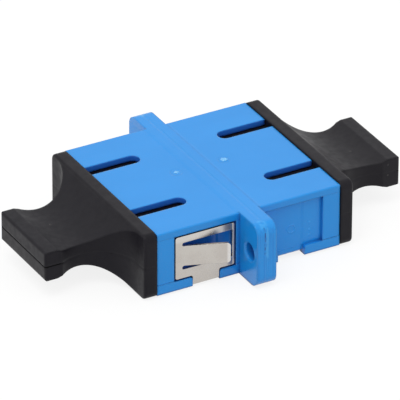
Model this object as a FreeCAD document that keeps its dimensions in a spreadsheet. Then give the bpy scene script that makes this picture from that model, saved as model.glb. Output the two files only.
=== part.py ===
"""SC duplex fibre adapter with its dust caps, drawn from one sheet of driving sizes.

Millimetres. X runs along the fibres, Y across the two ports and Z up. The origin is at
the bottom centre of the whole part, in the plane where the two housing halves meet.

Every moulding is drawn in a frame of its own: x = 0 is the plane where the halves meet,
x grows towards the mouth of a port, and z = 0 is the height of the fibre axes. The pieces
of the left end are the same mouldings, turned half a turn about Z.
"""
import FreeCAD, Part
import math
import os
import Sketcher

V = FreeCAD.Vector

SIZES = {
    # Ports, and the walls round them, which give the housing its size
    "port_pitch": 12.7,          # between the two fibre axes
    "port_width": 9.1,
    "port_height": 7.5,
    "port_depth": 11.35,         # from the web to the mouth
    "port_corner": 0.3,
    "side_wall": 1.9,            # outside each port, to the housing's side
    "roof_wall": 0.85,           # above and below the ports
    "web_thickness": 1.0,        # between a port and the insert's pocket
    "web_window_width": 7.6,
    "web_window_height": 5.6,
    "housing_corner": 0.15,      # radius of the long outer edges
    "skirt_height": 1.55,        # lower band of the sides, up to the mould's parting line
    "skirt_step": 0.06,          # how far that band stands proud
    "keyway_width": 2.1,
    "keyway_length": 7.75,       # from the mouth to the rounded end
    "gate_dimple": 1.5,          # diameter of the sunk ring round the gate's stub
    "gate_recess": 0.15,
    "gate_stub": 0.8,
    "gate_height": 0.12,
    "gate_reach": 3.6,           # from the meeting plane
    "gate_offset": 0.5,          # off the middle, towards the far port
    # Flange
    "flange_thickness": 2.9,     # both halves together
    "flange_ear": 4.75,          # beyond the housing's side
    "flange_proud": 0.04,        # above and below the housing
    "flange_corner": 1.5,
    "weld_groove": 0.12,
    "screw_hole": 2.4,
    "screw_inset": 2.15,         # hole centre to the ear's end
    "screw_chamfer": 0.2,
    "pin_diameter": 1.5,         # locating pins between the halves
    "pin_length": 0.9,
    "pin_rise": 2.7,             # above the fibre axes
    "pin_clearance": 0.05,
    # Side windows for the mounting clip, and the channel its strap lies in
    "window_flange_gap": 0.5,    # from the flange's face
    "window_mouth_gap": 2.55,    # from the mouth
    "window_sill": 1.4,          # above the underside
    "window_head": 1.05,         # below the top
    "window_depth": 0.5,
    "rail_corner": 0.35,         # radius where the sill turns down into the channel
    "channel_depth": 0.35,       # in the underside
    "channel_step": 0.08,        # deeper than the window, at the sides
    "channel_bevel": 0.3,        # across the housing's lower edge
    # Mounting clip, folded from sheet
    "sheet": 0.35,
    "clip_gap": 0.22,            # round the wings
    "wing_clearance": 0.1,       # between the wings and the windows' floors
    "strap_width": 3.95,
    "strap_offset": 0.15,        # from the window's middle, towards the flange
    "strap_clearance": 0.06,
    "bend_radius": 0.15,         # inside the fold
    "wing_corner": 0.3,
    "tongue_width": 2.95,
    "tongue_rise": 0.15,         # tongue's middle above the wing's middle
    "tongue_proud": 2.1,         # free end, beyond the housing's side
    "relief_slot": 0.55,         # beside the tongue
    "relief_inset": 1.0,         # wing's edge to the slots' ends
    "root_inset": 1.4,           # wing's edge to the tongue's root
    "opening_inset": 0.3,        # wing's other edge to the opening
    "tongue_setback": 1.45,      # from the opening's edge to the tongue's free end
    "tongue_corner": 0.45,
    # Latch inserts
    "insert_thickness": 1.35,
    "insert_gap": 0.05,          # between the insert and the meeting plane
    "insert_clearance": 0.1,     # round the insert's plate
    "plate_margin": 0.9,         # insert pocket beyond the web's window
    "holder_wall": 0.45,
    "lip_thickness": 1.1,
    "lip_bore": 2.9,
    "arm_reach": 6.9,            # beyond the web
    "arm_span": 6.9,             # over both arms
    "arm_thickness": 0.75,
    "arm_height": 3.5,
    "hook_depth": 0.55,
    "hook_length": 1.1,
    # Split sleeves
    "sleeve_length": 11.4,
    "sleeve_bore": 2.5,
    "sleeve_wall": 0.35,
    "sleeve_slit": 0.4,
    "sleeve_clearance": 0.05,
    # Dust caps
    "cap_gap": 0.1,              # between the cap's plate and the housing
    "cap_overhang": 0.2,         # of the plate, beyond the housing all round
    "cap_plate": 1.85,
    "cap_corner": 1.0,           # radius of the plate's corners
    "cap_edge": 0.3,             # rounding of the plate's outer edges
    "grip_length": 11.1,
    "grip_tip_width": 12.5,
    "grip_tip_height": 4.2,
    "grip_neck_width": 11.0,
    "grip_neck_height": 3.1,
    "grip_side_scoop": 5.7,      # radius
    "grip_face_scoop": 8.1,      # radius
    "grip_corner": 0.25,
    "grip_edge": 0.3,
    "parting_width": 0.12,       # line left by the cap's mould, at mid-height
    "parting_depth": 0.08,
    "plug_clearance": 0.15,      # to the port, on each side
    "plug_wall": 0.55,
    "plug_past_keyway": 0.4,
}


class Size:
    """A dimension that carries its number and the sheet expression that gives it."""

    def __init__(self, text, value):
        self.text = text
        self.value = value

    def __add__(self, other):
        other = as_size(other)
        return Size(f"({self.text} + {other.text})", self.value + other.value)

    def __sub__(self, other):
        other = as_size(other)
        return Size(f"({self.text} - {other.text})", self.value - other.value)

    def __mul__(self, other):
        other = as_size(other)
        return Size(f"({self.text} * {other.text})", self.value * other.value)

    def __truediv__(self, other):
        other = as_size(other)
        return Size(f"({self.text} / {other.text})", self.value / other.value)

    def __neg__(self):
        return Size(f"(-1 * {self.text})", -self.value)


def as_size(number):
    return number if isinstance(number, Size) else Size(str(number), float(number))


def root(size):
    return Size(f"sqrt({size.text})", math.sqrt(size.value))


ZERO = Size("0", 0.0)


class Sheet:
    """The spreadsheet of driving dimensions; its attributes are its cells."""

    def __init__(self, document):
        self.cells = document.addObject("Spreadsheet::Sheet", "Sizes")
        for row, (alias, number) in enumerate(SIZES.items(), start=1):
            self.cells.set(f"A{row}", alias)
            self.cells.set(f"B{row}", str(number))
            self.cells.setAlias(f"B{row}", alias)

    def __getattr__(self, alias):
        return Size(f"Sizes.{alias}", float(SIZES[alias]))


doc = FreeCAD.newDocument("ScFibreAdapter")
S = Sheet(doc)
doc.recompute()


# Dimensions that follow from the driving ones

HOUSING_WIDTH = S.port_pitch + S.port_width + S.side_wall * 2
HOUSING_HEIGHT = S.port_height + S.roof_wall * 2
POCKET_DEPTH = S.insert_thickness + S.insert_gap
WEB_FACE = POCKET_DEPTH + S.web_thickness
MOUTH = WEB_FACE + S.port_depth
FIBRE_HEIGHT = S.cap_overhang + HOUSING_HEIGHT / 2
SIDE = HOUSING_WIDTH / 2
TOP = HOUSING_HEIGHT / 2
FLANGE_FACE = S.flange_thickness / 2
FLANGE_END = SIDE + S.flange_ear
SCREW_Y = FLANGE_END - S.screw_inset
PORT_Y = S.port_pitch / 2
KEYWAY_END = MOUTH - S.keyway_length

WINDOW_NEAR = FLANGE_FACE + S.window_flange_gap
WINDOW_FAR = MOUTH - S.window_mouth_gap
WINDOW_LOW = S.window_sill - TOP
WINDOW_HIGH = TOP - S.window_head
WINDOW_FLOOR = SIDE - S.window_depth
WING_INNER = WINDOW_FLOOR + S.wing_clearance
WING_OUTER = WING_INNER + S.sheet
STRAP_MIDDLE = (WINDOW_NEAR + WINDOW_FAR) / 2 - S.strap_offset
CHANNEL_NEAR = STRAP_MIDDLE - S.strap_width / 2 - S.strap_clearance
CHANNEL_FAR = STRAP_MIDDLE + S.strap_width / 2 + S.strap_clearance
CHANNEL_ROOF = S.channel_depth - TOP

SLEEVE_OUTER = S.sleeve_bore + S.sleeve_wall * 2
HOLDER_BORE = SLEEVE_OUTER + S.sleeve_clearance * 2
HOLDER_OUTER = HOLDER_BORE + S.holder_wall * 2
SLEEVE_SEAT = S.sleeve_length / 2 + S.sleeve_clearance
HOLDER_END = SLEEVE_SEAT + S.lip_thickness

CAP_BACK = MOUTH + S.cap_gap
CAP_FACE = CAP_BACK + S.cap_plate
CAP_SIDE = SIDE + S.cap_overhang
CAP_TOP = TOP + S.cap_overhang
PLUG_WIDTH = S.port_width - S.plug_clearance * 2
PLUG_HEIGHT = S.port_height - S.plug_clearance * 2
PLUG_END = KEYWAY_END - S.plug_past_keyway


# Bodies, sketches and features

def new_body(label, y=ZERO, turned=False):
    """A body whose frame sits at fibre height, turned about Z if it faces left."""
    body = doc.addObject("PartDesign::Body", label)
    body.Label = label
    angle = 180 if turned else 0
    body.Placement = FreeCAD.Placement(V(0, 0, 0), FreeCAD.Rotation(V(0, 0, 1), angle))
    body.setExpression("Placement.Base.y", y.text)
    body.setExpression("Placement.Base.z", FIBRE_HEIGHT.text)
    return body


def origin_plane(body, role):
    return next(f for f in body.Origin.OriginFeatures if f.Role == role)


def new_sketch(body, role, name, offset=None):
    """A sketch on one of the body's planes, moved along the plane's normal."""
    sketch = body.newObject("Sketcher::SketchObject", f"{body.Label}_{name}")
    sketch.AttachmentSupport = [(origin_plane(body, role), "")]
    sketch.MapMode = "FlatFace"
    if offset is not None:
        sketch.setExpression("AttachmentOffset.Base.z", offset.text)
    return sketch


def bind(sketch, kind, size, *where):
    """Add a dimension to the sketch and tie it to the sheet."""
    index = sketch.addConstraint(Sketcher.Constraint(kind, *where, size.value))
    name = f"{kind.lower()}{index}"
    sketch.renameConstraint(index, name)
    sketch.setExpression(f"Constraints.{name}", size.text)


def pin_point(sketch, geometry, point, x, y):
    """Hold a point of the sketch at (x, y)."""
    if x is ZERO:
        sketch.addConstraint(Sketcher.Constraint("PointOnObject", geometry, point, -2))
    else:
        bind(sketch, "DistanceX", x, -1, 1, geometry, point)
    if y is ZERO:
        sketch.addConstraint(Sketcher.Constraint("PointOnObject", geometry, point, -1))
    else:
        bind(sketch, "DistanceY", y, -1, 1, geometry, point)


def arc_between(start, end, radius, turn):
    """The short arc from start to end; turn is +1 anticlockwise, -1 clockwise."""
    chord = end - start
    left = V(-chord.y, chord.x, 0).normalize() * turn
    height = math.sqrt(max(radius ** 2 - (chord.Length / 2) ** 2, 0))
    centre = (start + end) / 2 + left * height
    first, last = (start, end) if turn > 0 else (end, start)
    angles = [math.atan2(p.y - centre.y, p.x - centre.x) for p in (first, last)]
    return Part.ArcOfCircle(Part.Circle(centre, V(0, 0, 1), radius), *angles)


def add_outline(sketch, steps):
    """Close an outline through steps of (x, y), or (x, y, radius, turn) where an arc
    leads from that point to the next."""
    pieces = []
    for step, following in zip(steps, steps[1:] + steps[:1]):
        start = V(step[0].value, step[1].value, 0)
        end = V(following[0].value, following[1].value, 0)
        if len(step) == 2:
            piece = sketch.addGeometry(Part.LineSegment(start, end), False)
            pieces.append((piece, 1, 2))
        else:
            radius, turn = step[2:]
            piece = sketch.addGeometry(arc_between(start, end, radius.value, turn), False)
            pieces.append((piece, 1, 2) if turn > 0 else (piece, 2, 1))
    for (piece, _, end), (following, start, _) in zip(pieces, pieces[1:] + pieces[:1]):
        sketch.addConstraint(Sketcher.Constraint("Coincident", piece, end, following, start))
    for step, (piece, start, _) in zip(steps, pieces):
        pin_point(sketch, piece, start, step[0], step[1])
        if len(step) == 4:
            bind(sketch, "Radius", step[2], piece)


def add_rectangle(sketch, left, right, low, high, corner=None):
    """A rectangle, with rounded corners if a radius is given."""
    if corner is None:
        add_outline(sketch, [(left, low), (right, low), (right, high), (left, high)])
        return
    add_outline(sketch, [
        (left + corner, low), (right - corner, low, corner, 1),
        (right, low + corner), (right, high - corner, corner, 1),
        (right - corner, high), (left + corner, high, corner, 1),
        (left, high - corner), (left, low + corner, corner, 1),
    ])


def add_circle(sketch, x, y, diameter):
    circle = Part.Circle(V(x.value, y.value, 0), V(0, 0, 1), diameter.value / 2)
    piece = sketch.addGeometry(circle, False)
    pin_point(sketch, piece, 3, x, y)
    bind(sketch, "Diameter", diameter, piece)


def extrude(kind, body, sketch, length, forward=True, symmetric=False):
    feature = body.newObject(f"PartDesign::{kind}", f"{sketch.Name}_{kind.lower()}")
    feature.Profile = sketch
    feature.SideType = "Symmetric" if symmetric else "One side"
    feature.Reversed = not forward
    if length is None:
        feature.Type = "ThroughAll"
    else:
        feature.setExpression("Length", length.text)
    sketch.Visibility = False
    doc.recompute()
    return feature


def pad(body, sketch, length, forward=True, symmetric=False):
    """Add material; forward is along the sketch plane's normal."""
    return extrude("Pad", body, sketch, length, forward, symmetric)


def pocket(body, sketch, length=None, forward=False, symmetric=False):
    """Remove material; no length cuts through everything."""
    before = body.Shape.Volume
    feature = extrude("Pocket", body, sketch, length, not forward, symmetric)
    if body.Shape.Volume >= before:
        raise RuntimeError(f"{feature.Name} removed nothing")
    return feature


def mirror(body, feature, role):
    mirrored = body.newObject("PartDesign::Mirrored", f"{feature.Name}_mirrored")
    mirrored.Originals = [feature]
    mirrored.MirrorPlane = (origin_plane(body, role), [""])
    body.Tip = mirrored
    doc.recompute()
    return mirrored


def edge_names(feature, wanted):
    """Names of the feature's edges whose own bounding box passes the test."""
    return [f"Edge{number}" for number, edge in enumerate(feature.Shape.Edges, start=1)
            if wanted(edge.BoundBox)]


def dress(kind, body, property_name, size, wanted):
    """Round or bevel the edges of the body's last feature that pass the test."""
    base = body.Tip
    feature = body.newObject(f"PartDesign::{kind}", f"{base.Name}_{kind.lower()}")
    feature.Base = (base, edge_names(base, wanted))
    feature.setExpression(property_name, size.text)
    body.Tip = feature
    doc.recompute()
    return feature


def chamfer(body, size, wanted):
    return dress("Chamfer", body, "Size", size, wanted)


def fillet(body, radius, wanted):
    return dress("Fillet", body, "Radius", radius, wanted)


def near(number, size):
    return abs(number - size.value) < 1e-4


# Housing

def window_outline(sketch):
    """The clip's window, and the opening through its sill where the strap runs down."""
    below = -(TOP + S.flange_proud + 1)
    corner = S.rail_corner
    add_outline(sketch, [
        (WINDOW_NEAR, WINDOW_LOW), (CHANNEL_NEAR - corner, WINDOW_LOW, corner, -1),
        (CHANNEL_NEAR, WINDOW_LOW - corner), (CHANNEL_NEAR, below),
        (CHANNEL_FAR, below), (CHANNEL_FAR, WINDOW_LOW - corner, corner, -1),
        (CHANNEL_FAR + corner, WINDOW_LOW), (WINDOW_FAR, WINDOW_LOW),
        (WINDOW_FAR, WINDOW_HIGH), (WINDOW_NEAR, WINDOW_HIGH),
    ])


def channel_outline(sketch):
    """Section of the strap's channel: down one side, across the underside, up the other."""
    outside = SIDE + S.skirt_step + 1
    below = -(TOP + 1)
    floor = WINDOW_FLOOR - S.channel_step
    bevel = S.channel_bevel
    add_outline(sketch, [
        (-outside, WINDOW_HIGH), (-outside, below), (outside, below), (outside, WINDOW_HIGH),
        (floor, WINDOW_HIGH), (floor, CHANNEL_ROOF + bevel), (floor - bevel, CHANNEL_ROOF),
        (bevel - floor, CHANNEL_ROOF), (-floor, CHANNEL_ROOF + bevel), (-floor, WINDOW_HIGH),
    ])


def housing_half(label, turned, gate_y):
    """One moulded half: shell, flange, two ports, keyways, clip windows and pins."""
    body = new_body(label, turned=turned)

    shell = new_sketch(body, "YZ_Plane", "shell")
    add_rectangle(shell, -SIDE, SIDE, -TOP, TOP, S.housing_corner)
    pad(body, shell, MOUTH)

    skirt = new_sketch(body, "YZ_Plane", "skirt")
    wide = SIDE + S.skirt_step
    corner = S.housing_corner
    add_outline(skirt, [
        (corner - wide, -TOP), (wide - corner, -TOP, corner, 1), (wide, corner - TOP),
        (wide, S.skirt_height - TOP), (-wide, S.skirt_height - TOP),
        (-wide, corner - TOP, corner, 1),
    ])
    pad(body, skirt, MOUTH)

    flange = new_sketch(body, "YZ_Plane", "flange")
    flange_top = TOP + S.flange_proud
    add_rectangle(flange, -FLANGE_END, FLANGE_END, -flange_top, flange_top, S.flange_corner)
    pad(body, flange, FLANGE_FACE)

    ports = new_sketch(body, "YZ_Plane", "ports", MOUTH)
    pockets = new_sketch(body, "YZ_Plane", "insert_pockets")
    openings = new_sketch(body, "YZ_Plane", "web_windows")
    keyways = new_sketch(body, "XY_Plane", "keyways", TOP)
    for middle in (-PORT_Y, PORT_Y):
        half = S.port_width / 2
        tall = S.port_height / 2
        add_rectangle(ports, middle - half, middle + half, -tall, tall, S.port_corner)
        half = S.web_window_width / 2 + S.plate_margin
        tall = S.web_window_height / 2 + S.plate_margin
        add_rectangle(pockets, middle - half, middle + half, -tall, tall)
        half = S.web_window_width / 2
        tall = S.web_window_height / 2
        add_rectangle(openings, middle - half, middle + half, -tall, tall)
        half = S.keyway_width / 2
        beyond = MOUTH + 1
        add_outline(keyways, [
            (beyond, middle + half), (KEYWAY_END + half, middle + half, half, 1),
            (KEYWAY_END, middle, half, 1), (KEYWAY_END + half, middle - half),
            (beyond, middle - half),
        ])
    pocket(body, ports, S.port_depth)
    pocket(body, pockets, POCKET_DEPTH, forward=True)
    pocket(body, openings, WEB_FACE, forward=True)
    pocket(body, keyways, S.roof_wall + S.port_corner)

    outermost = SIDE + S.skirt_step
    window = new_sketch(body, "XZ_Plane", "window", outermost)
    window_outline(window)
    mirror(body, pocket(body, window, S.skirt_step + S.window_depth), "XZ_Plane")
    channel = new_sketch(body, "YZ_Plane", "strap_channel", CHANNEL_NEAR)
    channel_outline(channel)
    pocket(body, channel, CHANNEL_FAR - CHANNEL_NEAR, forward=True)

    screws = new_sketch(body, "YZ_Plane", "screw_holes", FLANGE_FACE)
    add_circle(screws, SCREW_Y, ZERO, S.screw_hole)
    add_circle(screws, -SCREW_Y, ZERO, S.screw_hole)
    pocket(body, screws)

    pin_y = (SIDE + SCREW_Y - S.screw_hole / 2) / 2 - S.pin_diameter / 2
    locating_pin = new_sketch(body, "YZ_Plane", "locating_pin")
    add_circle(locating_pin, pin_y, S.pin_rise, S.pin_diameter)
    pad(body, locating_pin, S.pin_length, forward=False)
    socket = new_sketch(body, "YZ_Plane", "pin_socket")
    add_circle(socket, -pin_y, S.pin_rise, S.pin_diameter + S.pin_clearance * 2)
    pocket(body, socket, S.pin_length + S.pin_clearance * 2, forward=True)

    dimple = new_sketch(body, "XY_Plane", "gate_dimple", TOP)
    add_circle(dimple, S.gate_reach, gate_y, S.gate_dimple)
    pocket(body, dimple, S.gate_recess)
    stub = new_sketch(body, "XY_Plane", "gate_stub", TOP - S.gate_recess)
    add_circle(stub, S.gate_reach, gate_y, S.gate_stub)
    pad(body, stub, S.gate_height)

    chamfer(body, S.screw_chamfer, lambda box: near(box.XMin, FLANGE_FACE)
            and near(box.XMax, FLANGE_FACE) and near(box.YLength, S.screw_hole)
            and near(box.ZLength, S.screw_hole))
    chamfer(body, S.weld_groove, lambda box: near(box.XMin, ZERO) and near(box.XMax, ZERO)
            and (near(box.YMax, FLANGE_END) or near(box.YMin, -FLANGE_END)))
    return body


# Latch insert and split sleeve

def latch_insert(label, y, turned):
    """Plate, sleeve holder and two hooked arms, moulded as one."""
    body = new_body(label, y, turned)

    plate = new_sketch(body, "YZ_Plane", "plate", S.insert_gap)
    half = S.web_window_width / 2 + S.plate_margin - S.insert_clearance
    tall = S.web_window_height / 2 + S.plate_margin - S.insert_clearance
    add_rectangle(plate, -half, half, -tall, tall)
    pad(body, plate, S.insert_thickness)

    holder = new_sketch(body, "YZ_Plane", "sleeve_holder", S.insert_gap)
    add_circle(holder, ZERO, ZERO, HOLDER_OUTER)
    pad(body, holder, HOLDER_END - S.insert_gap)

    arm = new_sketch(body, "XY_Plane", "arm")
    outer = S.arm_span / 2
    inner = outer - S.arm_thickness
    end = WEB_FACE + S.arm_reach
    hook = end - S.hook_length
    start = S.insert_gap + S.insert_thickness / 2
    add_outline(arm, [
        (start, inner), (hook, inner), (hook, inner - S.hook_depth),
        (end - S.hook_length / 2, inner - S.hook_depth), (end, inner), (end, outer),
        (start, outer),
    ])
    mirror(body, pad(body, arm, S.arm_height, symmetric=True), "XZ_Plane")

    seat = new_sketch(body, "YZ_Plane", "sleeve_seat")
    add_circle(seat, ZERO, ZERO, HOLDER_BORE)
    pocket(body, seat, SLEEVE_SEAT, forward=True)
    lip = new_sketch(body, "YZ_Plane", "lip_bore")
    add_circle(lip, ZERO, ZERO, S.lip_bore)
    pocket(body, lip, forward=True)
    return body


def split_sleeve(label, y):
    """Ceramic tube, slit along its length, that grips and lines up two ferrules."""
    body = new_body(label, y)
    ring = new_sketch(body, "YZ_Plane", "ring")
    add_circle(ring, ZERO, ZERO, SLEEVE_OUTER)
    add_circle(ring, ZERO, ZERO, S.sleeve_bore)
    pad(body, ring, S.sleeve_length, symmetric=True)
    slit = new_sketch(body, "XY_Plane", "slit")
    add_rectangle(slit, -S.sleeve_length, S.sleeve_length, -S.sleeve_slit / 2, S.sleeve_slit / 2)
    pocket(body, slit, SLEEVE_OUTER, forward=True)
    return body


# Mounting clip

def clip_section(sketch, top):
    """The folded sheet seen along the fibres: wing, strap and wing."""
    inner = WING_INNER
    outer = WING_OUTER
    bottom = CHANNEL_ROOF - S.sheet
    inside = S.bend_radius
    outside = S.bend_radius + S.sheet
    add_outline(sketch, [
        (-outer, top), (-outer, bottom + outside, outside, 1), (outside - outer, bottom),
        (outer - outside, bottom, outside, 1), (outer, bottom + outside), (outer, top),
        (inner, top), (inner, CHANNEL_ROOF + inside, inside, -1), (inner - inside, CHANNEL_ROOF),
        (inside - inner, CHANNEL_ROOF, inside, -1), (-inner, CHANNEL_ROOF + inside),
        (-inner, top),
    ])


def mounting_clip(label, turned):
    """Spring clip: a wing in each side window, joined by a strap under the housing,
    with a tongue cut free in each wing and bent out to hold the adapter in a panel."""
    body = new_body(label, turned=turned)
    near_edge = WINDOW_NEAR + S.clip_gap
    far_edge = WINDOW_FAR - S.clip_gap
    low = WINDOW_LOW + S.clip_gap
    high = WINDOW_HIGH - S.clip_gap
    strap_near = STRAP_MIDDLE - S.strap_width / 2
    strap_far = STRAP_MIDDLE + S.strap_width / 2
    corner = S.wing_corner

    folded = new_sketch(body, "YZ_Plane", "folded_sheet", near_edge)
    clip_section(folded, high)
    pad(body, folded, far_edge - near_edge)

    # Each trim keeps the strap and rounds the wing's corners
    beyond = S.strap_width
    below = -(TOP + S.sheet + 1)
    above = high + 1
    trims = new_sketch(body, "XZ_Plane", "trims")
    add_outline(trims, [
        (near_edge - beyond, below), (strap_near, below), (strap_near, low - corner, corner, 1),
        (strap_near - corner, low), (near_edge + corner, low, corner, -1),
        (near_edge, low + corner), (near_edge, high - corner, corner, -1),
        (near_edge + corner, high), (near_edge + corner, above), (near_edge - beyond, above),
    ])
    add_outline(trims, [
        (far_edge + beyond, below), (far_edge + beyond, above), (far_edge - corner, above),
        (far_edge - corner, high, corner, -1), (far_edge, high - corner),
        (far_edge, low + corner, corner, -1), (far_edge - corner, low),
        (strap_far + corner, low, corner, 1), (strap_far, low - corner), (strap_far, below),
    ])
    pocket(body, trims, symmetric=True)

    # The opening, with a round-ended relief slot beside each edge of the tongue
    middle = (low + high) / 2 + S.tongue_rise
    tongue_low = middle - S.tongue_width / 2
    tongue_high = middle + S.tongue_width / 2
    opening_edge = near_edge + S.opening_inset
    slot_end = far_edge - S.relief_inset
    fold = far_edge - S.root_inset
    slot = S.relief_slot
    round_end = slot / 2
    opening = new_sketch(body, "XZ_Plane", "opening")
    add_outline(opening, [
        (opening_edge, tongue_low - slot), (slot_end - round_end, tongue_low - slot, round_end, 1),
        (slot_end, tongue_low - round_end, round_end, 1), (slot_end - round_end, tongue_low),
        (fold, tongue_low), (fold, tongue_high), (slot_end - round_end, tongue_high, round_end, 1),
        (slot_end, tongue_high + round_end, round_end, 1),
        (slot_end - round_end, tongue_high + slot), (opening_edge, tongue_high + slot),
    ])
    pocket(body, opening, symmetric=True)

    # The tongue leans outwards from its root to its free end, near the flange
    inner = WING_INNER
    outer = WING_OUTER
    tip = opening_edge + S.tongue_setback
    reach = SIDE + S.tongue_proud
    run = fold - tip
    rise = reach - outer
    slant = root(run * run + rise * rise)
    step_x = S.sheet * rise / slant
    step_y = S.sheet * run / slant
    tongue = new_sketch(body, "XY_Plane", "tongue", tongue_low)
    add_outline(tongue, [
        (fold + S.sheet, outer), (fold, outer), (tip, reach), (tip - step_x, reach - step_y),
        (fold - step_x, inner), (fold + S.sheet, inner),
    ])
    bent = pad(body, tongue, S.tongue_width)
    mirror(body, bent, "XZ_Plane")
    fillet(body, S.tongue_corner, lambda box: box.XMax < tip.value + 1e-4
           and box.ZLength < 1e-4 and box.YLength > S.sheet.value / 2
           and abs(box.YMax) + abs(box.YMin) > 2 * outer.value)
    return body


# Dust cap

def grip_steps(inset=ZERO):
    """Waisted outline of the grip in plan, from the plate's face round the tip and back.
    A positive inset draws it that much inside the grip's own faces."""
    centre_x = CAP_FACE + S.grip_side_scoop
    centre_y = S.grip_neck_width / 2 + S.grip_side_scoop
    radius = S.grip_side_scoop + inset
    half = S.grip_tip_width / 2 - inset
    tip = CAP_FACE + S.grip_length - inset
    face = CAP_FACE - inset
    drop = centre_y - half
    waist_end = centre_x + root(radius * radius - drop * drop)
    corner = S.grip_corner
    return [
        (face, -centre_y, radius, -1), (centre_x, radius - centre_y, radius, -1),
        (waist_end, -half), (tip - corner, -half, corner, 1),
        (tip, corner - half), (tip, half - corner, corner, 1),
        (tip - corner, half), (waist_end, half, radius, -1),
        (centre_x, centre_y - radius, radius, -1), (face, centre_y),
    ]


def face_scoop_outline(sketch):
    """What the scoop takes off the grip's upper face: one long arc from the plate's edge
    through the neck to the flat of the tip, whose end is rounded."""
    radius = S.grip_face_scoop
    start = CAP_TOP - S.cap_edge
    tip_top = S.grip_tip_height / 2
    neck = S.grip_neck_height / 2
    rise = neck + radius - start
    fall = neck + radius - tip_top
    centre_x = CAP_FACE + root(radius * radius - rise * rise)
    scoop_end = centre_x + root(radius * radius - fall * fall)
    tip = CAP_FACE + S.grip_length
    edge = S.grip_edge
    above = CAP_TOP + 1
    add_outline(sketch, [
        (CAP_FACE, above), (CAP_FACE, start, radius, 1), (centre_x, neck, radius, 1),
        (scoop_end, tip_top), (tip - edge, tip_top, edge, -1), (tip, tip_top - edge),
        (tip + 1, tip_top - edge), (tip + 1, above),
    ])


def dust_cap(label, turned):
    """Soft cap for one end: two hollow plugs, a plate and a waisted grip."""
    body = new_body(label, turned=turned)

    plate = new_sketch(body, "YZ_Plane", "plate", CAP_BACK)
    add_rectangle(plate, -CAP_SIDE, CAP_SIDE, -CAP_TOP, CAP_TOP, S.cap_corner)
    pad(body, plate, S.cap_plate)
    fillet(body, S.cap_edge, lambda box: near(box.XMin, CAP_FACE) and near(box.XMax, CAP_FACE))

    # Grip: its plan, as tall as the flat of the plate, then a scoop in each face
    shoulder = S.grip_neck_width / 2 + S.grip_side_scoop
    inside = CAP_FACE - S.cap_edge
    plan = new_sketch(body, "XY_Plane", "grip_plan")
    add_outline(plan, [(inside, -shoulder), *grip_steps(), (inside, shoulder)])
    pad(body, plan, (CAP_TOP - S.cap_edge) * 2, symmetric=True)
    scoop = new_sketch(body, "XZ_Plane", "face_scoop")
    face_scoop_outline(scoop)
    mirror(body, pocket(body, scoop, symmetric=True), "XY_Plane")

    # Parting line of the mould, round the plate and the grip
    back = CAP_BACK - S.parting_width
    face = CAP_FACE - S.parting_depth
    side = CAP_SIDE - S.parting_depth
    parting = new_sketch(body, "XY_Plane", "parting_line")
    add_rectangle(parting, back - 1, CAP_FACE + S.grip_length + 1, -CAP_SIDE - 1, CAP_SIDE + 1)
    add_outline(parting, [
        (back, -side), (face, -side), *grip_steps(S.parting_depth), (face, side), (back, side),
    ])
    pocket(body, parting, S.parting_width, symmetric=True)

    plugs = new_sketch(body, "YZ_Plane", "plugs", CAP_BACK)
    hollows = new_sketch(body, "YZ_Plane", "plug_hollows", PLUG_END)
    for middle in (-PORT_Y, PORT_Y):
        half = PLUG_WIDTH / 2
        tall = PLUG_HEIGHT / 2
        add_rectangle(plugs, middle - half, middle + half, -tall, tall, S.port_corner)
        half = half - S.plug_wall
        tall = tall - S.plug_wall
        add_rectangle(hollows, middle - half, middle + half, -tall, tall)
    pad(body, plugs, CAP_BACK - PLUG_END, forward=False)
    pocket(body, hollows, CAP_BACK - PLUG_END, forward=True)
    return body


# The whole adapter

def build():
    pieces = [
        housing_half("body_half_right", False, S.gate_offset),
        housing_half("body_half_left", True, -S.gate_offset),
        mounting_clip("mounting_clip", True),
        dust_cap("dust_cap_right", False),
        dust_cap("dust_cap_left", True),
    ]
    for row, y in (("front", -PORT_Y), ("rear", PORT_Y)):
        pieces.append(split_sleeve(f"split_sleeve_{row}", y))
        pieces.append(latch_insert(f"latch_insert_right_{row}", y, False))
        pieces.append(latch_insert(f"latch_insert_left_{row}", y, True))
    return pieces


def check(pieces):
    """Stop if anything failed to compute or a piece isn't one sound solid."""
    for item in doc.Objects:
        if "Invalid" in item.State or "Error" in item.State:
            raise RuntimeError(f"{item.Name} failed: {item.State}")
    for piece in pieces:
        shape = piece.Shape
        if shape.isNull() or not shape.isValid() or len(shape.Solids) != 1:
            raise RuntimeError(f"{piece.Label} isn't one valid solid")


def export(pieces):
    os.makedirs("parts", exist_ok=True)
    for piece in pieces:
        piece.Shape.exportStep(f"parts/{piece.Label}.step")


adapter = build()
doc.recompute()
check(adapter)
export(adapter)
for part in adapter:
    box = part.Shape.BoundBox
    print(f"{part.Label:26s} {part.Shape.Volume:9.2f} mm3  "
          f"x {box.XMin:7.2f} {box.XMax:7.2f}  y {box.YMin:7.2f} {box.YMax:7.2f}  "
          f"z {box.ZMin:6.2f} {box.ZMax:6.2f}")
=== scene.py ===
"""SC duplex fibre adapter: materials, moulding details, studio and camera on the CAD frame.

X runs along the fibres, -Y faces the camera's side and Z is up. Lengths are in millimetres,
and MM turns them into Blender's metres where they reach a socket, a mesh or a lamp. The
details are the marks that moulding and welding leave: each is found on the CAD surface that
carries it by casting a ray at it.
"""
import math
import random
from functools import reduce

import bmesh
import bpy
from mathutils import Matrix, Vector, noise
from mathutils.bvhtree import BVHTree


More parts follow.
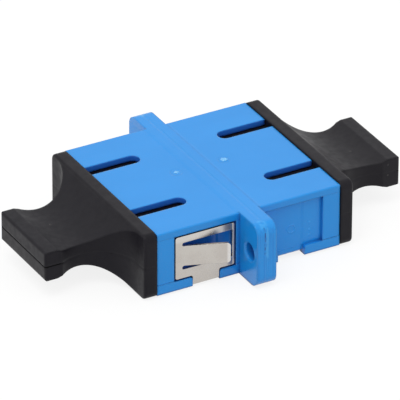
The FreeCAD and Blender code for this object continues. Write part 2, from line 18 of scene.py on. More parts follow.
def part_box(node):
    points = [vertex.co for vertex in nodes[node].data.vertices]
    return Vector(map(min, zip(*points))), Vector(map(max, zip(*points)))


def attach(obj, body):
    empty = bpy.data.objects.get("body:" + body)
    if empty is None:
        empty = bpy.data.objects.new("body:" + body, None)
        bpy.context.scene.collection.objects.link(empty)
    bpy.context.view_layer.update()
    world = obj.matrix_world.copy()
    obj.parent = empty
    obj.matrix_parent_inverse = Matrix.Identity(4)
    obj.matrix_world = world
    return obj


MM = 0.001

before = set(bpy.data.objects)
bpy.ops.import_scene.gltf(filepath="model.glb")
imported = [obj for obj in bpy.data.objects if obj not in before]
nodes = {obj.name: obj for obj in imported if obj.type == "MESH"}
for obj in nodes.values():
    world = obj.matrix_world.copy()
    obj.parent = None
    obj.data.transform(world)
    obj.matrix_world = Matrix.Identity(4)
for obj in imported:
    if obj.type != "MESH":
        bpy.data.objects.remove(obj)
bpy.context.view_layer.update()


# Places on the part, from the meeting plane, the middle and the floor

def corner_of(name, end):
    """Low (0) or high (1) corner of a CAD node's box."""
    return [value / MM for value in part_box(name)[end]]


MOUTH, EAR_END, FLANGE_TOP = corner_of("body_half_right", 1)
CAP_TIP, CAP_SIDE, CAP_TOP = corner_of("dust_cap_right", 1)
CLIP_FAR = -corner_of("mounting_clip", 0)[0]
CLIP_NEAR = -corner_of("mounting_clip", 1)[0]
CLIP_TOP = corner_of("mounting_clip", 1)[2]
CLIP_GAP = 0.22                     # round the clip's wings
FIBRE_HEIGHT = CAP_TOP / 2
UNDERSIDE = 0.2
TOP = FLANGE_TOP - 0.04
SIDE = EAR_END - 4.75
FLANGE_FACE = 1.45
SEAM = 0.12                         # half the width of the weld groove
SCREW = EAR_END - 2.15
PORT = 6.35                         # middle of a port
KEYWAY = 1.05                       # half a keyway's width
KEYWAY_END = 6.0
WINDOW_NEAR, WINDOW_FAR = CLIP_NEAR - CLIP_GAP, CLIP_FAR + CLIP_GAP
WINDOW_TOP = CLIP_TOP + CLIP_GAP
WINDOW_FLOOR = SIDE - 0.5
SILL = 1.6                          # foot of the windows
SKIRT_TOP = 1.75
CHANNEL_NEAR, CHANNEL_FAR = 4.39, 8.46
OPENING_NEAR = CLIP_NEAR + 0.3      # in the clip's wings, round the tongues
TONGUE_END = OPENING_NEAR + 1.45
CAP_BACK, CAP_FACE = MOUTH + 0.1, MOUTH + 1.95
OUTSIDE = 30                        # well clear of the part, where rays start


# Shader building

class Surface:
    """A material under construction, with short ways to add and join its nodes."""

    def __init__(self, name, colour, roughness, **sockets):
        self.material = bpy.data.materials.new(name)
        self.material.use_nodes = True
        self.tree = self.material.node_tree
        self.shader = self.tree.nodes["Principled BSDF"]
        self.set(self.shader, **{"Base Color": (*colour, 1), "Roughness": roughness, **sockets})
        metres = self.add("ShaderNodeTexCoord").outputs["Object"]
        self.place = self.add("ShaderNodeVectorMath", {"operation": "SCALE"},
                              Vector=metres, Scale=1 / MM).outputs[0]
        self.x, self.y, self.z = self.parts(self.place)
        self.reach = self.maths("ABSOLUTE", self.x)
        self.side = self.maths("ABSOLUTE", self.y)
        self.colour = None

    def add(self, kind, attributes=None, **sockets):
        node = self.tree.nodes.new(kind)
        for key, value in (attributes or {}).items():
            setattr(node, key, value)
        self.set(node, **sockets)
        return node

    def put(self, socket, value):
        """Link a socket, or set its constant."""
        if isinstance(value, bpy.types.NodeSocket):
            self.tree.links.new(value, socket)
        else:
            socket.default_value = value

    def set(self, node, **sockets):
        for key, value in sockets.items():
            self.put(node.inputs[key.replace("_", " ")], value)

    def noise(self, size, detail=2.0, stretch=(1, 1, 1)):
        """Smooth noise whose features are about size across, drawn out by a stretch."""
        place = self.add("ShaderNodeMapping", Vector=self.place)
        place.inputs["Scale"].default_value = [1 / (size * share) for share in stretch]
        return self.add("ShaderNodeTexNoise", Vector=place.outputs[0], Scale=1.0,
                        Detail=detail).outputs["Fac"]

    def spread(self, value, low, high, start=0.35, end=0.65):
        """Map a value from start..end to low..high."""
        node = self.add("ShaderNodeMapRange", {"clamp": True}, Value=value)
        self.set(node, From_Min=start, From_Max=end, To_Min=low, To_Max=high)
        return node.outputs[0]

    def maths(self, operation, *values):
        node = self.add("ShaderNodeMath", {"operation": operation})
        for socket, value in zip(node.inputs, values):
            self.put(socket, value)
        return node.outputs[0]

    def product(self, *values):
        return reduce(lambda first, second: self.maths("MULTIPLY", first, second), values)

    def either(self, first, second):
        """The larger of two masks."""
        return self.maths("MAXIMUM", first, second)

    def outside(self, mask):
        return self.maths("SUBTRACT", 1, mask)

    def parts(self, vector):
        """The X, Y and Z components of a vector."""
        return self.add("ShaderNodeSeparateXYZ", Vector=vector).outputs

    def between(self, value, low, high, fade):
        """1 where a value lies between low and high, fading to 0 outside."""
        return self.product(self.spread(value, 0, 1, low - fade, low),
                            self.spread(value, 1, 0, high, high + fade))

    def blend(self, amount, first, second):
        """Mix two colours by an amount from 0 to 1."""
        node = self.add("ShaderNodeMix", {"data_type": "RGBA"})
        self.set(node, Factor=amount)
        for socket, value in ((node.inputs[6], first), (node.inputs[7], second)):
            self.put(socket, (*value, 1) if isinstance(value, tuple) else value)
        return node.outputs[2]

    def mottle(self, pattern, low, high, start=0.35, end=0.65):
        """Start the colour as a pattern that runs from one tone to another."""
        self.colour = self.blend(self.spread(pattern, 0, 1, start, end), low, high)

    def paint(self, amount, colour):
        """Lay a colour over what is there already."""
        self.colour = self.blend(amount, self.colour, colour)

    def blend_normals(self, amount, first, second):
        node = self.add("ShaderNodeMix", {"data_type": "VECTOR"})
        self.set(node, Factor=amount)
        self.put(node.inputs[4], first)
        self.put(node.inputs[5], second)
        return node.outputs[1]

    def soft_edges(self, radius, samples=6):
        """Normal of the surface with its edges rounded off."""
        return self.add("ShaderNodeBevel", {"samples": samples}, Radius=radius * MM).outputs[0]

    def flat_normal(self):
        return self.add("ShaderNodeNewGeometry").outputs["Normal"]

    def upright(self):
        """1 on walls and 0 on level faces."""
        lean = self.maths("ABSOLUTE", self.parts(self.flat_normal())[2])
        return self.spread(lean, 1, 0, 0.2, 0.8)

    def edge_mask(self, radius):
        """About 1 along edges and 0 on flats."""
        turn = self.add("ShaderNodeVectorMath", {"operation": "DOT_PRODUCT"})
        self.put(turn.inputs[0], self.soft_edges(radius, 4))
        self.put(turn.inputs[1], self.flat_normal())
        return self.spread(turn.outputs["Value"], 1, 0, 0.75, 0.99)

    def recess(self, reach, start, end):
        """About 1 deep in gaps and slots, and 0 in the open."""
        sky = self.add("ShaderNodeAmbientOcclusion", {"samples": 6}, Distance=reach * MM)
        return self.spread(sky.outputs["AO"], 1, 0, start, end)

    def bump(self, height, depth, normal=None):
        node = self.add("ShaderNodeBump", Height=height, Distance=depth * MM, Strength=1.0)
        if normal is not None:
            self.set(node, Normal=normal)
        return node.outputs[0]

    def finish(self, roughness, normal):
        self.set(self.shader, Base_Color=self.colour, Roughness=roughness, Normal=normal)
        return self.material


# Materials

def paint_weld(s):
    """Streaks down the ear ends, a torn dent along their upper seam with painted shade in it and a
    painted highlight on its wall, and a pale patch on the ears' upper corners."""
    on_ear_end = s.spread(s.side, 0, 1, EAR_END - 0.65, EAR_END - 0.15)
    streaks = s.spread(s.noise(0.24, 2.0, (1, 1, 40)), 0, 0.55, 0.47, 0.60)
    s.paint(s.product(on_ear_end, streaks), (0.008, 0.22, 0.70))
    upper_seam = s.product(on_ear_end, s.between(s.z, FIBRE_HEIGHT - 0.1, TOP - 0.2, 0.4))
    torn = s.noise(0.55, 2.0, (0.6, 1, 1.9))
    seam_shade = s.product(upper_seam, s.between(s.x, -0.32, -0.18, 0.07),
                       s.spread(torn, 0, 0.75, 0.46, 0.54))
    seam_highlight = s.product(upper_seam, s.between(s.x, -0.10, 0.20, 0.08),
                         s.spread(torn, 0, 0.45, 0.36, 0.52))
    # painted shade in the dent along the seam, and a painted highlight on its wall that faces the
    # light
    s.paint(seam_shade, (0.002, 0.05, 0.26))
    s.paint(seam_highlight, (0.09, 0.50, 0.97))
    patch = s.product(s.between(s.side, EAR_END - 1.65, EAR_END - 0.25, 0.25),
                      s.spread(s.z, 0, 1, TOP - 0.9, TOP - 0.5),
                      s.between(s.x, -0.6, 0.15, 0.35),
                      s.spread(s.noise(0.55, 1.0), 0, 0.4, 0.42, 0.60))
    s.paint(patch, (0.08, 0.48, 0.96))


def paint_flange(s):
    """A broken painted shadow along the flange's right foot, and painted light on the far ear's
    face.
    """
    # painted shadow under the small step at the flange's right foot
    foot_shadow = s.product(s.between(s.x, FLANGE_FACE + 0.01, FLANGE_FACE + 0.17, 0.06),
                          s.spread(s.z, 0, 1, TOP - 0.2, TOP - 0.05),
                          s.spread(s.noise(0.8, 3.0), 0.15, 0.42, 0.35, 0.6))
    s.paint(foot_shadow, (0.002, 0.19, 0.58))
    # painted light that makes the far ear's face lighter
    far_ear_light = s.product(s.spread(s.y, 0, 1, SIDE + 0.2, SIDE + 0.5),
                        s.spread(s.x, 1, 0, 0.01 - FLANGE_FACE, 0.05 - FLANGE_FACE))
    s.paint(far_ear_light, (0.014, 0.35, 0.95))


def paint_recess_shade(s, deep, window):
    """Painted shade in gaps, screw holes, keyways and on the windows' floors behind the clip."""
    # painted shade deep in gaps and slots
    s.paint(s.product(deep, 0.86), (0.016, 0.026, 0.215))
    hole = 1.3                      # radius, with the chamfer
    # painted shade inside the screw holes
    screw_hole_shade = s.product(s.between(s.side, SCREW - hole, SCREW + hole, 0.1),
                           s.between(s.z, FIBRE_HEIGHT - hole, FIBRE_HEIGHT + hole, 0.1),
                           s.spread(s.reach, 1, 0, 0.4, FLANGE_FACE - 0.1))
    s.paint(s.product(screw_hole_shade, 0.75), (0.004, 0.035, 0.26))
    # painted shadow of the clip's wings on the windows' floors
    clip_shadow = s.product(window, s.maths("LESS_THAN", s.x, 0))
    shaded = s.spread(s.x, 0.72, 0.50, -6.0, -3.5)
    s.paint(s.product(clip_shadow, shaded), (0.010, 0.035, 0.30))
    # painted shade on the keyways' walls
    keyway_shade = s.product(s.upright(), s.between(s.z, TOP - 0.90, TOP - 0.04, 0.03),
                       s.between(s.side, PORT - KEYWAY - 0.1, PORT + KEYWAY + 0.1, 0.05),
                       s.spread(s.reach, 0, 1, KEYWAY_END - 0.3, KEYWAY_END - 0.1))
    s.paint(s.product(keyway_shade, 0.6), (0.03, 0.09, 0.62))


def paint_edges(s, hidden):
    """Painted highlights on edges that catch the light, and painted shade at the foot of the
    walls.
    The near upper edges are too round to catch it, and so is the top along the flange's foot."""
    edge_y, edge_z = s.parts(s.soft_edges(0.16))[1:3]
    off_near_edges = s.spread(s.product(edge_y, edge_z), 0, 1, -0.30, -0.12)
    from_foot = s.maths("ABSOLUTE", s.maths("SUBTRACT", s.reach, FLANGE_FACE))
    off_foot = s.either(s.spread(from_foot, 0, 1, 0.10, 0.15),
                        s.outside(s.spread(s.z, 0, 1, TOP - 0.25, TOP - 0.05)))
    # painted highlights along the edges
    lit = s.product(s.edge_mask(0.15), off_near_edges, s.outside(hidden), off_foot, 0.55)
    s.paint(lit, (0.15, 0.47, 0.92))
    # painted shade at the foot of the walls, near the floor
    wall_foot_shade = s.spread(s.z, 0.5, 0, UNDERSIDE + 0.02, UNDERSIDE + 0.30)
    s.paint(s.product(s.upright(), wall_foot_shade), (0.003, 0.06, 0.28))


def blue_plastic():
    """Glossy moulded polyester: faint flow marks, edges that catch the light, a little draft
    above the line where the mould parted, and the traces of welding round the flange."""
    s = Surface("blue_moulding", (0.011, 0.297, 0.81), 0.22, Specular_IOR_Level=0.4)
    s.mottle(s.noise(6, 3.0, (1.8, 1, 1)), (0.0100, 0.290, 0.795), (0.0125, 0.304, 0.825))
    paint_weld(s)
    paint_flange(s)
    deep = s.recess(1.1, 0.25, 0.72)
    window = s.product(s.between(s.reach, WINDOW_NEAR - 0.05, WINDOW_FAR + 0.1, 0.1),
                       s.between(s.z, SILL - 0.3, WINDOW_TOP + 0.15, 0.1),
                       s.between(s.side, WINDOW_FLOOR - 0.5, WINDOW_FLOOR + 0.05, 0.02))
    paint_recess_shade(s, deep, window)
    ear_foot = s.product(s.between(s.reach, FLANGE_FACE - 0.03, FLANGE_FACE + 0.4, 0.01),
                         s.between(s.side, SIDE - 0.1, SIDE + 0.4, 0.02),
                         s.spread(s.z, 1, 0, TOP - 0.5, TOP - 0.3))
    inner_corners = s.either(window, ear_foot)
    paint_edges(s, s.either(deep, inner_corners))

    at_seam = s.spread(s.reach, 1, 0, SEAM + 0.02, SEAM + 0.04)
    rounded = s.blend_normals(s.either(at_seam, inner_corners), s.soft_edges(0.34),
                              s.flat_normal())
    drafted = s.bump(s.spread(s.z, 0, 1, WINDOW_TOP + 0.01, TOP), 0.07, rounded)
    wavy = s.bump(s.noise(2.6, 1.0), 0.010, drafted)
    grain = s.bump(s.noise(0.08, 3.0), 0.0008, wavy)
    return s.finish(s.spread(s.noise(0.8, 4.0), 0.18, 0.27), grain)


def pale_plastic(name, low, high):
    """Paler and duller blue plastic for small moulded marks."""
    s = Surface(name, high, 0.35, Specular_IOR_Level=0.4)
    s.mottle(s.noise(0.15, 3.0), low, high, 0.4, 0.6)
    return s.finish(0.35, s.bump(s.noise(0.06, 3.0), 0.002))


def black_plastic():
    """Soft black vinyl: satin and faintly mottled, with some dust in its grain, painted light
    towards the right cap, painted highlights on its edges, and a painted shadow in the groove
    where its mould parted round the tip of the grip."""
    s = Surface("black_vinyl", (0.005, 0.004, 0.008), 0.45, Specular_IOR_Level=0.2)
    s.mottle(s.noise(3.0, 3.0), (0.0042, 0.0034, 0.0070), (0.0058, 0.0048, 0.0088))
    # painted light, growing stronger towards the right cap
    right_side_light = s.spread(s.x, 0, 1, -5, 20)
    s.paint(s.product(right_side_light, 0.5), (0.0130, 0.0115, 0.0150))
    lower_tip = s.product(s.spread(s.reach, 0, 1, CAP_TIP - 0.3, CAP_TIP - 0.05),
                          s.spread(s.z, 1, 0, FIBRE_HEIGHT - 0.3, FIBRE_HEIGHT))
    s.paint(s.product(lower_tip, 0.5), (0.024, 0.022, 0.024))
    dust = s.spread(s.noise(0.13, 4.0), 0, 1, 0.62, 0.76)
    s.paint(s.product(dust, 0.12), (0.10, 0.092, 0.09))
    # painted highlights along the edges
    s.paint(s.product(s.edge_mask(0.16), 0.16), (0.06, 0.057, 0.06))
    one_side = s.product(s.spread(s.reach, 0, 1, CAP_TIP - 2.8, CAP_TIP - 2.2),
                         s.maths("GREATER_THAN", s.product(s.x, s.y), 0))
    around_tip = s.either(s.maths("GREATER_THAN", s.reach, CAP_TIP - 0.3), one_side)
    # painted shadow in the parting groove round the tip, with duller gloss there
    parting_shadow = s.product(around_tip,
                        s.between(s.z, FIBRE_HEIGHT - 0.07, FIBRE_HEIGHT + 0.07, 0.05))
    s.paint(s.product(parting_shadow, 0.95), (0.0004, 0.0004, 0.0005))
    uneven = s.bump(s.noise(2.4, 2.0), 0.020, s.soft_edges(0.45))
    roughness = s.maths("ADD", s.spread(s.noise(0.9, 3.0), 0.40, 0.50), s.product(parting_shadow, 0.45))
    return s.finish(roughness, s.bump(s.noise(0.10, 3.0), 0.0022, uneven))


def pale_vinyl():
    """Paler vinyl for the marks on the caps."""
    s = Surface("black_marks", (0.035, 0.033, 0.035), 0.55, Specular_IOR_Level=0.2)
    s.mottle(s.noise(0.12, 3.0), (0.026, 0.025, 0.027), (0.055, 0.053, 0.054))
    return s.finish(0.55, s.bump(s.noise(0.08, 3.0), 0.003))


def paint_clip(s):
    """Painted reflections of what the wings mirror round their openings: a pale upper bar with a
    dark end, a blue patch below, a dark outer edge, and a painted highlight on each tongue's
    rolled end."""
    bar = s.product(s.spread(s.z, 0, 1, CLIP_TOP - 1.03, CLIP_TOP - 0.63),
                    s.spread(s.x, 1, 0, -TONGUE_END - 0.48, -TONGUE_END + 0.32))
    s.paint(bar, (0.63, 0.60, 0.565))
    dark_end = s.product(s.between(s.x, -TONGUE_END + 0.42, -TONGUE_END + 1.02, 0.5),
                         s.spread(s.z, 0, 0.6, CLIP_TOP - 1.13, CLIP_TOP - 0.73))
    s.paint(dark_end, (0.16, 0.155, 0.19))
    # painted reflection of the blue housing below the opening
    blue_reflection = s.product(s.between(s.x, -OPENING_NEAR - 0.48, -OPENING_NEAR - 0.03, 0.35),
                       s.between(s.z, SILL + 0.4, SILL + 1.3, 0.4))
    s.paint(s.product(blue_reflection, 0.6), (0.16, 0.18, 0.28))
    outer_edge = s.product(s.spread(s.x, 0, 0.8, -CLIP_NEAR - 0.25, -CLIP_NEAR - 0.13),
                           s.spread(s.z, 0, 1, SILL + 0.3, SILL + 1.3))
    s.paint(outer_edge, (0.10, 0.13, 0.25))
    # painted highlight on the rolled end of each tongue
    rolled_end_highlight = s.product(s.between(s.x, -TONGUE_END - 0.28, -TONGUE_END + 0.32, 0.25),
                           s.between(s.z, FIBRE_HEIGHT - 1.4, FIBRE_HEIGHT + 2.2, 0.1))
    s.paint(rolled_end_highlight, (0.67, 0.65, 0.63))


def spring_steel():
    """Cold-rolled stainless strip: satin, with fine lines along the rolling direction, its
    wings sprung a little inward and the edges of its openings rolled by the punch."""
    s = Surface("rolled_stainless", (0.53, 0.50, 0.46), 0.3, Metallic=1.0)
    lines = s.noise(0.05, 3.0, (1, 1, 40))
    stains = s.noise(2.6, 3.0)
    s.mottle(stains, (0.505, 0.470, 0.435), (0.56, 0.53, 0.49))
    paint_clip(s)
    # painted shade in the clip's gaps and hollows
    s.paint(s.product(s.recess(0.5, 0.2, 0.6), 0.8), (0.04, 0.06, 0.13))

    sprung = s.bump(s.product(s.x, 0.044), 1.0, s.soft_edges(0.06))
    rolled = s.bump(s.spread(s.x, 0, 1, -CLIP_NEAR - 0.33, -CLIP_NEAR - 0.03), 0.05, sprung)
    curl = s.product(s.spread(s.x, 0, 1, -TONGUE_END - 0.53, -TONGUE_END - 0.23),
                     s.between(s.z, FIBRE_HEIGHT - 1.1, FIBRE_HEIGHT + 2.2, 0.2))
    curled = s.bump(curl, 0.02, rolled)
    wavy = s.bump(s.noise(3.0, 1.0), 0.012, curled)
    roughness = s.maths("ADD", s.spread(lines, 0.24, 0.28), s.spread(stains, -0.03, 0.05))
    return s.finish(roughness, s.bump(lines, 0.0003, wavy))


def insert_plastic():
    """Natural, unpainted nylon with a slight translucence."""
    s = Surface("natural_nylon", (0.80, 0.78, 0.70), 0.5, Subsurface_Weight=0.15,
                Subsurface_Scale=0.8 * MM)
    s.mottle(s.noise(3, 2.0), (0.76, 0.735, 0.65), (0.83, 0.81, 0.735))
    grain = s.bump(s.noise(0.09, 3.0), 0.002, s.soft_edges(0.08))
    return s.finish(s.spread(s.noise(0.5, 3.0), 0.42, 0.58), grain)


def zirconia():
    """Polished ivory ceramic."""
    s = Surface("zirconia_ceramic", (0.88, 0.86, 0.79), 0.12, IOR=2.1, Subsurface_Weight=0.2,
                Subsurface_Scale=0.6 * MM)
    s.mottle(s.noise(1.8, 2.0), (0.86, 0.835, 0.76), (0.90, 0.885, 0.82))
    grain = s.bump(s.noise(0.05, 2.0), 0.0004, s.soft_edges(0.05))
    return s.finish(s.spread(s.noise(0.3, 3.0), 0.09, 0.17), grain)


# Drawing pieces in millimetres on the CAD's surfaces

def spaced(start, end, steps):
    """Numbers from start to end in equal steps, with both ends."""
    return [start + (end - start) * step / steps for step in range(steps + 1)]


def surface_finder(node):
    """A function that casts a ray at a CAD node and gives the point and normal it meets."""
    tree = BVHTree.FromObject(node, bpy.context.evaluated_depsgraph_get())

    def find(start, direction):
        point, normal, _, _ = tree.ray_cast(Vector(start) * MM, Vector(direction))
        return point / MM, normal
    return find


def add_piece(name, shape, material, body):
    """Turn a bmesh into a smooth-shaded piece that rides on a body. An open sheet keeps the
    side it was built to show."""
    bmesh.ops.scale(shape, vec=(MM, MM, MM), verts=shape.verts)
    if not any(edge.is_boundary for edge in shape.edges):
        bmesh.ops.recalc_face_normals(shape, faces=shape.faces)
    mesh = bpy.data.meshes.new(name)
    shape.to_mesh(mesh)
    shape.free()
    mesh.shade_smooth()
    mesh.materials.append(material)
    piece = bpy.data.objects.new(name, mesh)
    bpy.context.collection.objects.link(piece)
    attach(piece, body)


def facing(normal):
    """The turn that brings Z onto a normal."""
    return normal.to_track_quat("Z", "Y").to_matrix()


def close_rings(shape, loops):
    """Join each loop of vertices to the next with a band of faces."""
    for first, second in zip(loops, loops[1:]):
        for step in range(len(first)):
            after = (step + 1) % len(first)
            shape.faces.new((first[step], first[after], second[after], second[step]))


def add_rings(shape, centre, turned, profile):
    """Turned surface whose profile is a list of radius and height."""
    segments = 48
    loops = []
    for radius, height in profile:
        angles = [2 * math.pi * step / segments for step in range(segments)]
        ring = [Vector((radius * math.cos(a), radius * math.sin(a), height)) for a in angles]
        loops.append([shape.verts.new(centre + turned @ place) for place in ring])
    close_rings(shape, loops)
    return loops


def add_nub(shape, point, normal, radius, height, roughness, rng):
    """A low rounded lump on a surface, left where plastic was fed in or pushed out."""
    segments, rings, sunk, fineness = 20, 6, 0.2, 1.7
    turned = facing(normal)
    shift = Vector((rng.random(), rng.random(), rng.random())) * 10
    loops = []
    for ring in range(rings):
        lift = ring / rings
        across = math.sqrt(1 - lift ** 2)
        loop = []
        for step in range(segments):
            angle = 2 * math.pi * step / segments
            spot = Vector((math.cos(angle) * across, math.sin(angle) * across, lift))
            spot *= 1 + roughness * noise.noise(spot * fineness + shift)
            place = Vector((spot.x * radius, spot.y * radius, (spot.z - sunk) * height))
            loop.append(shape.verts.new(point + turned @ place))
        loops.append(loop)
    close_rings(shape, loops)
    top = shape.verts.new(point + turned @ Vector((0, 0, (1 - sunk) * height)))
    for step in range(segments):
        shape.faces.new((loops[-1][step], loops[-1][(step + 1) % segments], top))
    shape.faces.new(list(reversed(loops[0])))


def add_sheet(shape, rows, outward):
    """Join rows of points into an open sheet that shows its face outward."""
    rows = [[shape.verts.new(point) for point in row] for row in rows]
    for first, second in zip(rows, rows[1:]):
        for column in range(len(first) - 1):
            face = shape.faces.new((first[column], first[column + 1],
                                    second[column + 1], second[column]))
            face.normal_update()
            if face.normal.dot(outward(face.calc_center_median())) < 0:
                face.normal_flip()


def add_ridge(shape, find, row, level, start, end, height):
    """A hairline of flash along a side at one level, from start to end along X."""
    half_width, sunk, wander = 0.030, 0.01, 0.9
    sections = []
    for x in spaced(start, end, max(6, round(abs(end - start) / 0.25))):
        surface = find((x, OUTSIDE * row, level), (0, -row, 0))[0].y
        proud = height * (0.75 + 0.5 * noise.noise(Vector((x, row, level)) / wander))
        sections.append([shape.verts.new(place) for place in (
            (x, surface - row * sunk, level - half_width), (x, surface + row * proud, level),
            (x, surface - row * sunk, level + half_width))])
    close_rings(shape, sections)
    shape.faces.new(sections[0])
    shape.faces.new(list(reversed(sections[-1])))


# Moulding details

def gate_marks(halves, plastic, torn):
    """The dimple on top of each housing half, filled flush, and the torn gate in it, with a
    painted highlight on its pale stub.
    """
    rng = random.Random(3)
    reach, across, beside = 3.6, 0.5, 1.6
    up = Vector((0, 0, 1))
    filling, stubs = bmesh.new(), bmesh.new()
    for node, side in halves:
        find = surface_finder(node)
        level = find(((reach + beside) * side, across * side, OUTSIDE), -up)[0].z
        centre = Vector((reach * side, across, level))
        loops = add_rings(filling, centre, Matrix.Identity(3),
                          ((0.80, -0.004), (0.74, 0.003), (0.50, 0.006), (0.25, 0.008)))
        filling.faces.new(loops[-1])
        size = 0.34 if side < 0 else 0.44
        add_nub(stubs, centre, up, size, 0.09, 0.55, rng)
        add_nub(stubs, centre + Vector((0.7, -0.1, 0)) * size, up, 0.6 * size, 0.12, 0.5, rng)
    add_piece("gate_fillings", filling, plastic, "housing")
    add_piece("gate_stubs", stubs, torn, "housing")


def parting_ridges(halves, material):
    """Flash along the sides: level with the heads of the clip's windows, on the band below
    them, and across the bare channel in the right half's sill."""
    shape = bmesh.new()
    for node, side in halves:
        find = surface_finder(node)
        end = (MOUTH - 0.05) * side
        for row in (-1, 1):
            add_ridge(shape, find, row, WINDOW_TOP + 0.035, (FLANGE_FACE + 0.1) * side, end, 0.022)
            add_ridge(shape, find, row, SKIRT_TOP - 0.07, (WINDOW_FAR + 0.15) * side, end, 0.020)
            if side > 0:
                add_ridge(shape, find, row, SILL - 0.1, CHANNEL_NEAR + 0.06, CHANNEL_FAR - 0.06,
                          0.035)
    add_piece("parting_ridges", shape, material, "housing")


def rays_round_flange(beside):
    """Rays at the flange's edge, over the top, round one ear, underneath and round the
    other, in a plane beside the seam."""
    turn = EAR_END - 2.5            # where the straight edge gives way to the ear's arc
    steps = 150
    rays = []
    for row in (-1, 1):
        for step in range(steps):
            y = row * turn * (1 - 2 * step / steps)
            rays.append((Vector((beside, y, -row * OUTSIDE)), Vector((0, 0, row))))
        for step in range(steps):
            angle = math.pi * step / steps
            outward = Vector((0, -row * math.sin(angle), -row * math.cos(angle)))
            centre = Vector((beside, -row * turn, FIBRE_HEIGHT))
            rays.append((centre + outward * OUTSIDE, -outward))
    return rays


def weld_seam(node, material):
    """Melted plastic that fills the groove between the halves, all round the flange."""
    half_width, sunk, across = SEAM - 0.002, 0.004, 8
    find = surface_finder(node)
    rays = rays_round_flange(0.25)
    rows = []
    for start, direction in rays + rays[:1]:
        point, normal = find(start, direction)
        rows.append([Vector((offset * half_width, point.y, point.z))
                     - normal * sunk * (1 - offset ** 4) for offset in spaced(-1, 1, across)])
    shape = bmesh.new()
    add_sheet(shape, rows, lambda place: Vector((0, place.y / 4, place.z - FIBRE_HEIGHT)))
    add_piece("weld_seam", shape, material, "housing")


def moulding_fillets(halves, material):
    """Soft runs of plastic: from each half's top up to the flange, and from the windows'
    floors down to the clip's channel, on its wall that faces left."""
    shape = bmesh.new()
    lift = 0.002
    foot = ((-0.07, 1.02), (0.02, 1.08), (0.17, 0.74), (0.35, 0.22), (0.50, 0.01))
    for node, side in halves:
        find = surface_finder(node)
        wall = CHANNEL_FAR if side > 0 else -CHANNEL_NEAR
        for row in (-1, 1):
            rows = []
            for level in spaced(SILL + 0.06, WINDOW_TOP - 0.05, 20):
                top, bottom = (find((x, OUTSIDE * row, level), (0, -row, 0))[0]
                               + Vector((0, row * lift, 0)) for x in (wall + 0.06, wall - 0.32))
                rows.append([top, top.lerp(bottom, 0.5), bottom])
            add_sheet(shape, rows, lambda place: Vector((0, row, 0)))
        rows = []
        for y in spaced(0.2 - SIDE, SIDE - 0.2, 60):
            top, bottom = (find(((FLANGE_FACE + away) * side, y, OUTSIDE), (0, 0, -1))[0].z
                           for away in (foot[0][0], foot[-1][0]))
            rows.append([Vector(((FLANGE_FACE + away) * side, y, bottom + (top - bottom) * share))
                         for away, share in foot])
        add_sheet(shape, rows, lambda place: Vector((0, 0, 1)))
    add_piece("moulding_fillets", shape, material, "housing")


def window_marks(node, material):
    """A round ejector mark and three dots on the bare floor of each clip window."""
    rng = random.Random(7)
    ring_reach, ring_level = 6.7, 4.4
    dots_reach, dot_levels = 9.4, (4.7, 3.65, 2.85)
    find = surface_finder(node)
    shape = bmesh.new()
    for row in (-1, 1):
        point, normal = find((ring_reach, OUTSIDE * row, ring_level), (0, -row, 0))
        add_rings(shape, point, facing(normal),
                  ((0.66, -0.01), (0.63, 0.05), (0.54, 0.055), (0.50, -0.01)))
        for level in dot_levels:
            point, normal = find((dots_reach, OUTSIDE * row, level), (0, -row, 0))
            add_nub(shape, point, normal, 0.20, 0.05, 0.1, rng)
    add_piece("window_marks", shape, material, "housing")


def cap_marks(node, side, body, mark_vinyl):
    """Ejector dots on one side of a cap's tip, and a low lump on top of its neck."""
    rng = random.Random(11)
    dots_reach, dot_levels = CAP_TIP - 1.8, (6.1, 4.55)
    neck_lump = Vector((CAP_TIP - 4.6, -1.0, 0)) * side
    find = surface_finder(node)
    shape = bmesh.new()
    for level in dot_levels:
        point, normal = find((dots_reach * side, -OUTSIDE * side, level), (0, side, 0))
        add_nub(shape, point, normal, 0.15, 0.07, 0.2, rng)
    point, normal = find((neck_lump.x, neck_lump.y, OUTSIDE), (0, 0, -1))
    add_nub(shape, point, normal, 0.20, 0.025, 0.45, rng)
    add_piece(f"{node.name}_marks", shape, mark_vinyl, body)


def cap_flash(node, side, body, material):
    """Vinyl pressed flush into the mould's parting line, except round the tip of the grip
    and along its last stretch on one side."""
    half_width = Vector((0, 0, 0.10))
    proud, dip = 0.002, 0.003
    grip_root = 6.55                # where the grip's sides rise from the plate
    find = surface_finder(node)
    shape = bmesh.new()

    def ribbon(places, direction):
        outward = -Vector(direction)
        rows = []
        for x, y in places:
            start = Vector((x, y, FIBRE_HEIGHT))
            low, high = (find(start + lift, direction)[0] + outward * proud
                         for lift in (-half_width, half_width))
            rows.append([low, low.lerp(high, 0.5) - outward * dip, high])
        add_sheet(shape, rows, lambda place: outward)

    for row in (-1, 1):
        inward = (0, -row, 0)
        end = CAP_TIP - (2.8 if row == side else 0.5)
        ribbon([(x * side, OUTSIDE * row) for x in spaced(CAP_BACK + 0.05, CAP_FACE - 0.25, 12)],
               inward)
        ribbon([(OUTSIDE * side, y * row) for y in spaced(CAP_SIDE - 0.25, grip_root, 40)],
               (-side, 0, 0))
        ribbon([(x * side, OUTSIDE * row) for x in spaced(CAP_FACE + 0.05, end, 60)], inward)
    add_piece(f"{node.name}_flash", shape, material, body)


# Stage, light and camera

def show_apart(tree, lighting, seen, output):
    """Send one shader to the rays that light things, and another to camera, glossy and
    transmission rays."""
    link = tree.links.new
    rays = tree.nodes.new("ShaderNodeLightPath")
    sees = rays.outputs["Is Camera Ray"]
    for kind in ("Is Glossy Ray", "Is Transmission Ray"):
        either = tree.nodes.new("ShaderNodeMath")
        either.operation = "MAXIMUM"
        link(sees, either.inputs[0])
        link(rays.outputs[kind], either.inputs[1])
        sees = either.outputs[0]
    choose = tree.nodes.new("ShaderNodeMixShader")
    for socket, source in zip(choose.inputs, (sees, lighting, seen)):
        link(source, socket)
    link(choose.outputs[0], output)


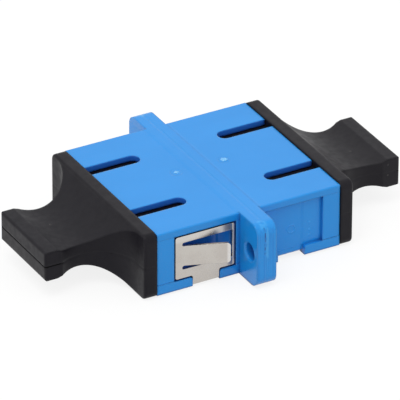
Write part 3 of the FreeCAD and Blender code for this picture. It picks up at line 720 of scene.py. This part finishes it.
def studio_floor():
    """Pale floor that looks white where no shadow falls on it, a hair below the caps."""
    half = 2000 * MM
    mesh = bpy.data.meshes.new("studio_floor")
    mesh.from_pydata([(-half, -half, 0), (half, -half, 0), (half, half, 0), (-half, half, 0)],
                     [], [(0, 1, 2, 3)])
    floor = bpy.data.objects.new("studio_floor", mesh)
    floor.location.z = -0.02 * MM
    bpy.context.collection.objects.link(floor)
    material = bpy.data.materials.new("floor_paper")
    material.use_nodes = True
    tree = material.node_tree
    tree.nodes.clear()
    lighting = tree.nodes.new("ShaderNodeBsdfDiffuse")
    lighting.inputs["Color"].default_value = (0.62, 0.62, 0.62, 1)
    shaded = tree.nodes.new("ShaderNodeBsdfDiffuse")
    shaded.inputs["Color"].default_value = (0.18, 0.18, 0.18, 1)
    glow = tree.nodes.new("ShaderNodeEmission")
    glow.inputs["Strength"].default_value = 0.84
    white = tree.nodes.new("ShaderNodeAddShader")
    for socket, source in zip(white.inputs, (shaded, glow)):
        tree.links.new(source.outputs[0], socket)
    output = tree.nodes.new("ShaderNodeOutputMaterial")
    show_apart(tree, lighting.outputs[0], white.outputs[0], output.inputs["Surface"])
    mesh.materials.append(material)


def studio_world():
    """Even pale surroundings, white where they are seen or reflected."""
    world = bpy.data.worlds.new("studio")
    bpy.context.scene.world = world
    world.use_nodes = True
    tree = world.node_tree
    light = tree.nodes["Background"]
    seen = tree.nodes.new("ShaderNodeBackground")
    for background, strength in ((light, 0.79), (seen, 1.0)):
        background.inputs["Color"].default_value = (1, 1, 1, 1)
        background.inputs["Strength"].default_value = strength
    output = tree.nodes["World Output"].inputs["Surface"]
    show_apart(tree, light.outputs[0], seen.outputs[0], output)


def softbox(name, place, size, power):
    """A round lamp, aimed at the middle of the floor."""
    data = bpy.data.lights.new(name, "AREA")
    data.shape = "DISK"
    data.size = size * MM
    data.energy = power
    lamp = bpy.data.objects.new(name, data)
    lamp.location = Vector(place) * MM
    lamp.rotation_euler = (-Vector(place)).to_track_quat("-Z", "Y").to_euler()
    bpy.context.collection.objects.link(lamp)


def studio_camera():
    """Long-lens view of the near side, from the left and above."""
    azimuth, elevation, roll = (math.radians(a) for a in (-29.146, 29.937, 0.212))
    distance, right_of_middle, above_middle = 815.065, -0.226, -0.349
    back = Vector((math.sin(azimuth) * math.cos(elevation),
                   -math.cos(azimuth) * math.cos(elevation), math.sin(elevation)))
    level = Vector((math.cos(azimuth), math.sin(azimuth), 0))
    upward = back.cross(level)
    right = level * math.cos(roll) + upward * math.sin(roll)
    up = upward * math.cos(roll) - level * math.sin(roll)
    target = Vector((0, 0, 4.85)) + right * right_of_middle + up * above_middle
    data = bpy.data.cameras.new("camera")
    data.sensor_width = 36
    data.lens = 552.2
    camera = bpy.data.objects.new("camera", data)
    turned = Matrix((right, up, back)).transposed().to_4x4()
    camera.matrix_world = Matrix.Translation((target + back * distance) * MM) @ turned
    bpy.context.collection.objects.link(camera)
    bpy.context.scene.camera = camera


# The whole scene

FINISHES = {
    "body_half": blue_plastic(),
    "dust_cap": black_plastic(),
    "mounting_clip": spring_steel(),
    "latch_insert": insert_plastic(),
    "split_sleeve": zirconia(),
}
for name, node in nodes.items():
    finish = next(f for start, f in FINISHES.items() if name.startswith(start))
    for index in range(len(node.data.materials)):
        node.data.materials[index] = finish

blue = FINISHES["body_half"]
halves = ((nodes["body_half_left"], -1), (nodes["body_half_right"], 1))
# the torn gate stubs are painted pale, partly as their highlight
gate_marks(halves, blue, pale_plastic("blue_torn_highlight", (0.045, 0.38, 0.88), (0.30, 0.68, 1.0)))
parting_ridges(halves, blue)
weld_seam(nodes["body_half_right"], blue)
moulding_fillets(halves, blue)
mark_plastic = pale_plastic("blue_marks", (0.017, 0.32, 0.84), (0.040, 0.37, 0.89))
window_marks(nodes["body_half_right"], mark_plastic)
mark_vinyl = pale_vinyl()
for side, body in ((-1, "cap_left"), (1, "cap_right")):
    cap = nodes[f"dust_{body}"]
    cap_marks(cap, side, body, mark_vinyl)
    cap_flash(cap, side, body, FINISHES["dust_cap"])

studio_floor()
studio_world()
softbox("key", (-250, -150, 750), 500, 1.75)
studio_camera()
bpy.context.scene.view_settings.view_transform = "Standard"
